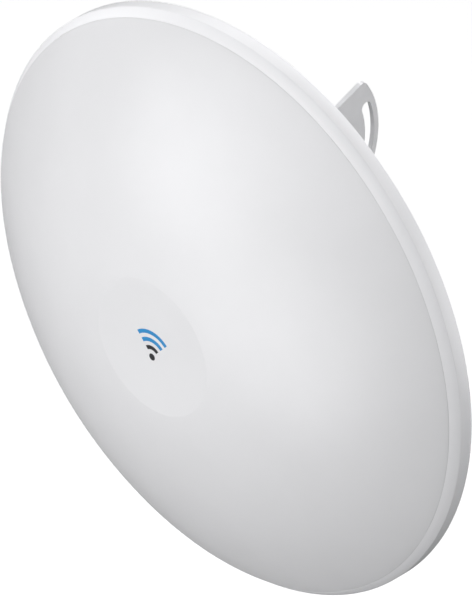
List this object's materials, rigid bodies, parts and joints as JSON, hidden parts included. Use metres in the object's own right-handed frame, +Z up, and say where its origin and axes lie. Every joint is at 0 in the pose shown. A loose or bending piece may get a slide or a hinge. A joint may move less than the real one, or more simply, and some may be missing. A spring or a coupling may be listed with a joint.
{
  "type": "outdoor wireless bridge",
  "caption": "Round domed dish antenna with its radio behind the hub, on a bent steel bracket that tilts along a curved slot and clamps to a pole.",
  "frame": {"origin": "on the axis of the pole, at the middle of the clamp's height", "axes": "-Y is the way the antenna looks at rest, +Z up along the pole, +X to the right seen from the front"},
  "size_m": [0.6499, 0.3908, 0.65],
  "materials": {
    "radome_white": "satin moulded cover plastic",
    "ring_white": "satin moulded plastic",
    "painted_steel": "light grey powder coat on steel",
    "reflector_paint": "white powder coat on pressed sheet",
    "zinc": "bright zinc plate",
    "stainless": "stainless steel",
    "cast_alloy": "die cast, tumbled",
    "feed_alloy": "turned",
    "feed_plastic": "natural low-loss plastic",
    "housing_white": "textured moulded plastic",
    "housing_grey": "textured moulded plastic",
    "seal_black": "soft rubber",
    "board_green": "solder mask",
    "tinned": "tinned sheet",
    "pad_grey": "silicone pad",
    "clear_light": "clear light pipe",
    "button_red": "moulded",
    "switch_black": "moulded"
  },
  "bodies": {
    "pole_mount": {"pole_bracket": "painted_steel", "pivot_bolt": "zinc", "pivot_washers": "zinc", "pivot_nut": "zinc", "lock_bolt": "zinc", "lock_washers": "zinc", "lock_nut": "zinc", "fixed_jaw": "cast_alloy", "clamp_bolts": "zinc"},
    "antenna": {"radome": "radome_white", "retaining_ring": "ring_white", "rim_gasket": "seal_black", "rim_screws": "stainless", "reflector": "reflector_paint", "feed_tube": "feed_alloy", "feed_oring": "seal_black", "feed_screws": "stainless", "feed_cone": "feed_plastic", "subreflector": "feed_alloy", "housing_base": "housing_white", "rear_cover": "housing_white", "cover_screws": "stainless", "cover_seal": "seal_black", "radio_board": "board_green", "rf_shield": "tinned", "waveguide_launcher": "feed_alloy", "thermal_pad": "pad_grey", "ethernet_jack": "tinned", "reset_switch": "switch_black", "light_pipes": "clear_light", "breather_vent": "switch_black", "cable_grommet": "seal_black", "door_pin": "stainless", "dish_bracket": "painted_steel", "hub_bolts": "zinc", "hub_washers": "zinc", "hub_nuts": "zinc", "ground_screw": "zinc", "ground_washer": "zinc"},
    "clamp_jaw": {"moving_jaw": "cast_alloy", "clamp_nuts": "zinc"},
    "door": {"port_door": "housing_white", "door_seal": "seal_black"},
    "latch": {"door_latch": "housing_grey"},
    "button": {"reset_button": "button_red"}
  },
  "joints": [
    {"name": "elevation_tilt", "type": "hinge", "parent": "pole_mount", "child": "antenna", "pos_m": [-0.04275, -0.0382, 0.1735], "axis": [-1, 0, 0], "range_deg": [-20, 35]},
    {"name": "jaw_slide", "type": "slide", "parent": "pole_mount", "child": "clamp_jaw", "axis": [0, 1, 0], "range_m": [-0.006, 0.012]},
    {"name": "door_hinge", "type": "hinge", "parent": "antenna", "child": "door", "pos_m": [0.024, -0.072, 0.0625], "axis": [-1, 0, 0], "range_deg": [0, 100]},
    {"name": "latch_slide", "type": "slide", "parent": "door", "child": "latch", "axis": [0, 0, -1], "range_m": [0, 0.0025], "stiffness_N_per_m": 600},
    {"name": "reset_press", "type": "slide", "parent": "antenna", "child": "button", "axis": [0, 0, 1], "range_m": [0, 0.0009], "stiffness_N_per_m": 800}
  ]
}
